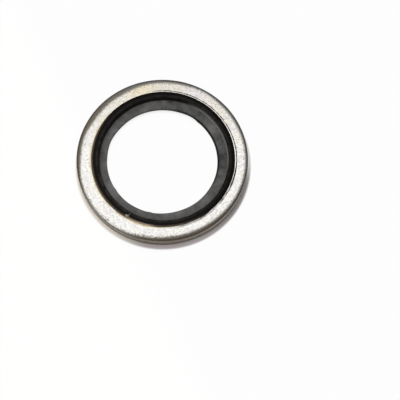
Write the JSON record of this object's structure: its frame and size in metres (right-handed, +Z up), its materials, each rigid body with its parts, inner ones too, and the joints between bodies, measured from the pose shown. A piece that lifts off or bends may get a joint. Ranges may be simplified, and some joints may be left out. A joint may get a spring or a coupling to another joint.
{
  "type": "bonded sealing washer",
  "caption": "Flat steel washer with a black rubber ring bonded in its bore: sealing lips proud of both faces, and a thin web that centres it on a pipe thread.",
  "frame": {"origin": "centre of the underside, on the axis, in the plane that the lower sealing lip rests on", "axes": "+Z up the washer's axis, through the hole, towards the face whose outer edge is drawn over; X and Y are any pair across it"},
  "size_m": [0.0286, 0.0286, 0.003],
  "materials": {
    "zinc_plated_steel": "blanked from strip and zinc plated, satin, with the rolled edge duller than the faces",
    "nitrile_rubber": "moulded black nitrile, satin on the lips and dusty grey on the web"
  },
  "bodies": {
    "root": {"steel_ring": "zinc_plated_steel", "rubber_ring": "nitrile_rubber"}
  },
  "joints": []
}
